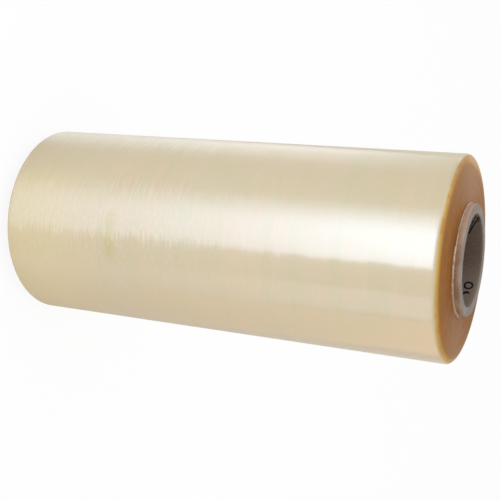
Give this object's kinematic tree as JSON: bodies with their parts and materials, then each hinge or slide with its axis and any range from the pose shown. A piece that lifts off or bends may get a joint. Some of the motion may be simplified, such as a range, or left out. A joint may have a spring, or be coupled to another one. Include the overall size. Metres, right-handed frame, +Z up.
{
  "type": "cling film roll",
  "caption": "Catering roll of pale yellow cling film wound on a board core whose bore takes a spindle, standing on one end.",
  "frame": {"origin": "centre of the circle on which the lower core end stands", "axes": "+Z up along the roll's axis, from the lower core end to the upper; the film's free end lies along the roll at +Y"},
  "size_m": [0.1715, 0.1716, 0.412],
  "materials": {
    "film": "gloss",
    "core_board": "matte"
  },
  "bodies": {
    "root": {"film_winding": "film", "board_core": "core_board"}
  },
  "joints": []
}
